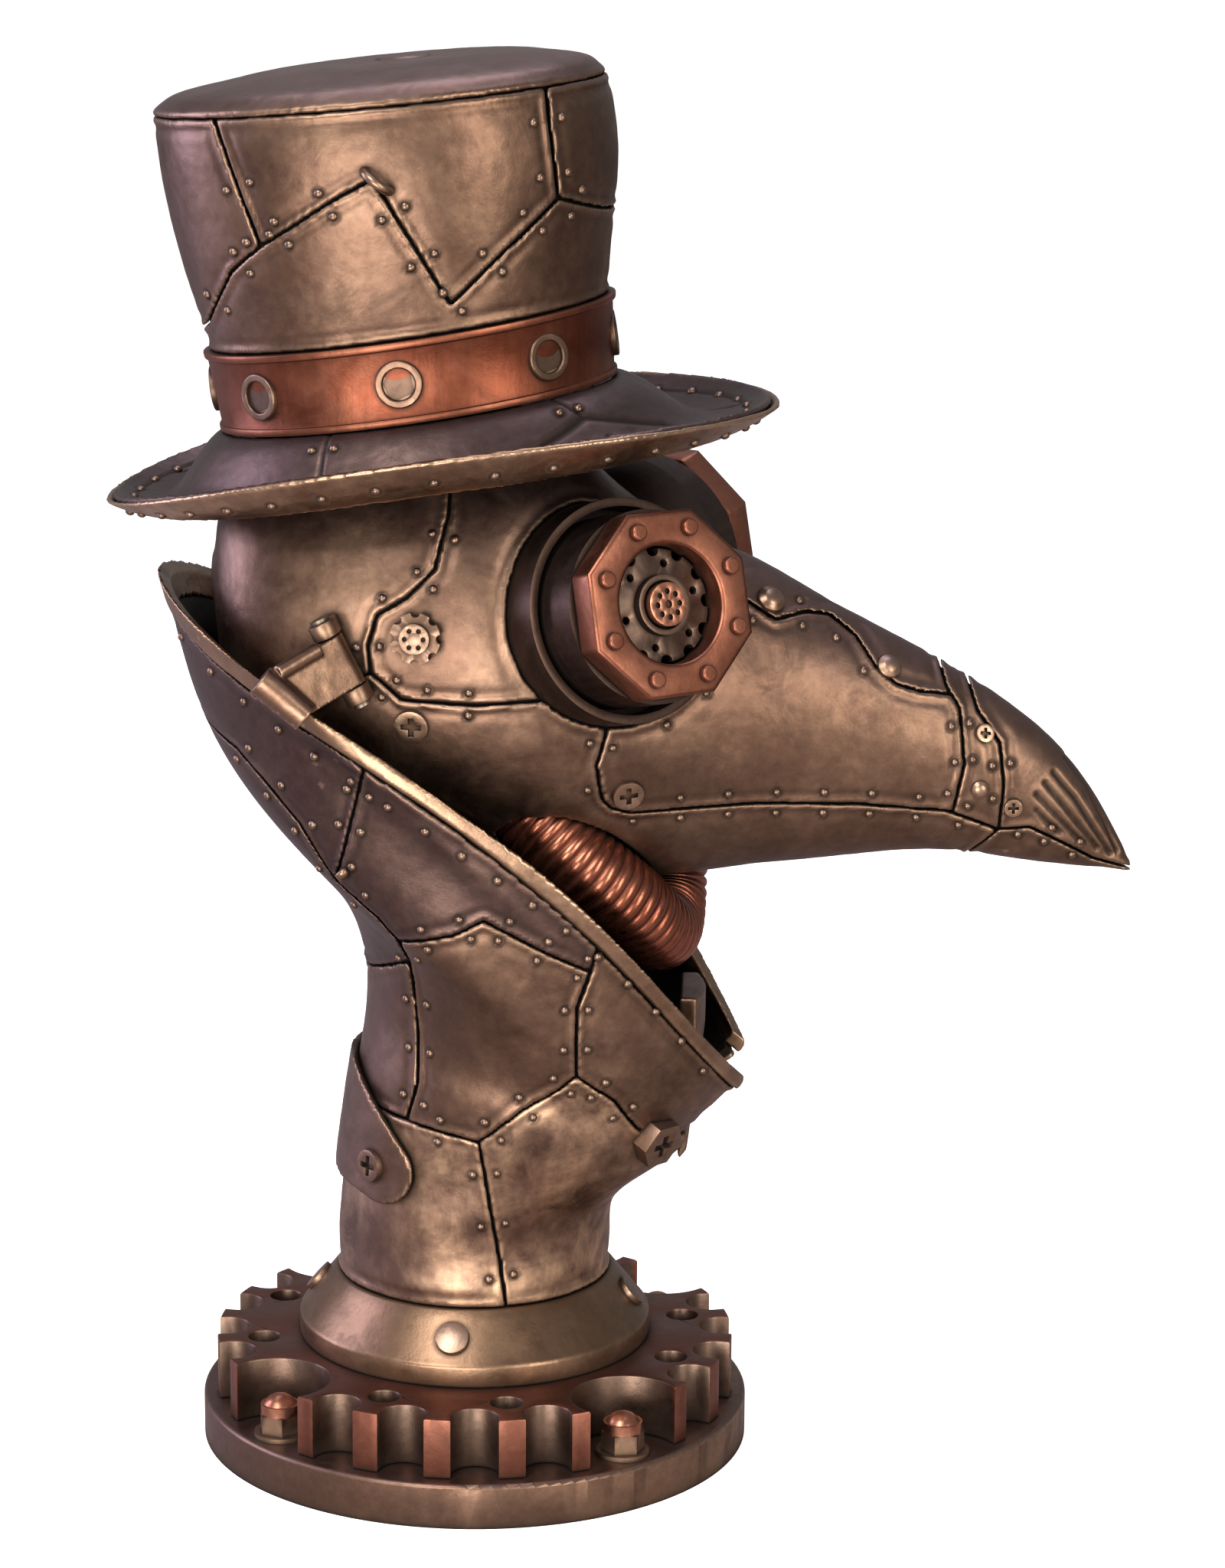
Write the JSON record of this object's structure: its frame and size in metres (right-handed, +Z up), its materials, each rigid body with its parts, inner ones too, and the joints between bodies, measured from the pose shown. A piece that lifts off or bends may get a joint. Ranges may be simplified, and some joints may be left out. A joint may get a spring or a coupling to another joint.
{
  "type": "beaked doctor bust in a top hat",
  "caption": "Free-standing riveted metal bust of a beaked doctor in a top hat on a gear plinth; the hat lifts off, and the goggle gears, temple knobs and strap clasps move.",
  "frame": {"origin": "centre of the plinth's underside", "axes": "+X forward along the beak, +Y the bust's own left, +Z up"},
  "size_m": [0.2151, 0.118, 0.2979],
  "materials": {
    "bronze": "antiqued, rubbed high spots over a dark wash",
    "bronze_brim": "antiqued, darker",
    "bronze_bright": "rubbed bright",
    "dark_bronze": "dark patina",
    "copper_plinth": "aged copper",
    "copper_bright": "polished copper",
    "copper_band": "aged copper",
    "copper_hose": "burnished copper",
    "iron_inner": "dark, unpolished",
    "steel_pins": "brushed"
  },
  "bodies": {
    "bust": {"axles_and_spindles": "steel_pins", "base_plate": "dark_bronze", "beak_band": "bronze", "beak_bridge": "bronze", "beak_keel": "bronze", "beak_side_plates": "bronze", "beak_tip": "bronze", "bezel_rivets": "copper_bright", "brow_plate": "bronze", "clasp_lugs": "bronze", "clasp_pins": "steel_pins", "collar_back_panel": "bronze_brim", "collar_nape_panel": "bronze_brim", "collar_rim": "bronze", "collar_side_panels": "bronze", "flange_studs": "bronze_bright", "gear_ring": "copper_plinth", "goggle_bezels": "copper_plinth", "goggle_cups": "dark_bronze", "head_liner": "iron_inner", "hose": "copper_hose", "jaw_plate": "bronze", "mask_rivets": "bronze_bright", "mask_screws": "bronze_bright", "nape_panel": "bronze", "nape_tab": "bronze", "neck_bolts": "bronze_bright", "neck_core": "iron_inner", "neck_flange": "bronze", "neck_front_panel": "bronze", "neck_liner": "iron_inner", "neck_rear_panel": "bronze", "neck_rivets": "bronze_bright", "neck_side_panels": "bronze", "ring_dome_nuts": "copper_bright", "skull_plate": "bronze", "throat_plate": "bronze", "throat_side_panels": "bronze"},
    "hat": {"band_eyelets": "bronze_bright", "brim_hem": "bronze_brim", "brim_plates": "bronze_brim", "brim_rivets": "bronze_bright", "crown_back_panel": "bronze", "crown_front_panel": "bronze", "crown_lid": "bronze", "crown_liner": "iron_inner", "crown_low_panels": "bronze", "crown_rivets": "bronze_bright", "crown_side_panels": "bronze", "crown_staple": "bronze_bright", "hat_band": "copper_band"},
    "left_goggle_gear": {"left_goggle_gear": "dark_bronze", "left_hub_cap": "copper_bright"},
    "right_goggle_gear": {"right_goggle_gear": "dark_bronze", "right_hub_cap": "copper_bright"},
    "left_temple_knob": {"left_temple_knob": "bronze"},
    "right_temple_knob": {"right_temple_knob": "bronze"},
    "left_strap_clasp": {"left_clasp_hook": "bronze"},
    "right_strap_clasp": {"right_clasp_hook": "bronze"}
  },
  "joints": [
    {"name": "hat_lift", "type": "slide", "parent": "bust", "child": "hat", "axis": [-0.1478, 0, 0.989], "range_m": [0, 0.09]},
    {"name": "right_goggle_gear_spin", "type": "hinge", "parent": "bust", "child": "right_goggle_gear", "pos_m": [0.0322, -0.0308, 0.18755], "axis": [0.5583, -0.7915, 0.2487], "continuous": true},
    {"name": "left_goggle_gear_spin", "type": "hinge", "parent": "bust", "child": "left_goggle_gear", "pos_m": [0.0322, 0.0308, 0.18755], "axis": [0.5583, 0.7915, 0.2487], "continuous": true},
    {"name": "right_temple_knob_turn", "type": "hinge", "parent": "bust", "child": "right_temple_knob", "pos_m": [-0.00895, -0.03955, 0.18334], "axis": [-0.0873, -0.9937, 0.0699], "continuous": true},
    {"name": "left_temple_knob_turn", "type": "hinge", "parent": "bust", "child": "left_temple_knob", "pos_m": [-0.00895, 0.03955, 0.18334], "axis": [-0.0873, 0.9937, 0.0699], "continuous": true},
    {"name": "right_clasp_hinge", "type": "hinge", "parent": "bust", "child": "right_strap_clasp", "pos_m": [-0.0242, -0.0404, 0.1782], "axis": [-0.45, 0, 0.893], "range_deg": [0, 65]},
    {"name": "left_clasp_hinge", "type": "hinge", "parent": "bust", "child": "left_strap_clasp", "pos_m": [-0.0242, 0.0404, 0.1782], "axis": [0.45, 0, -0.893], "range_deg": [0, 65]}
  ]
}
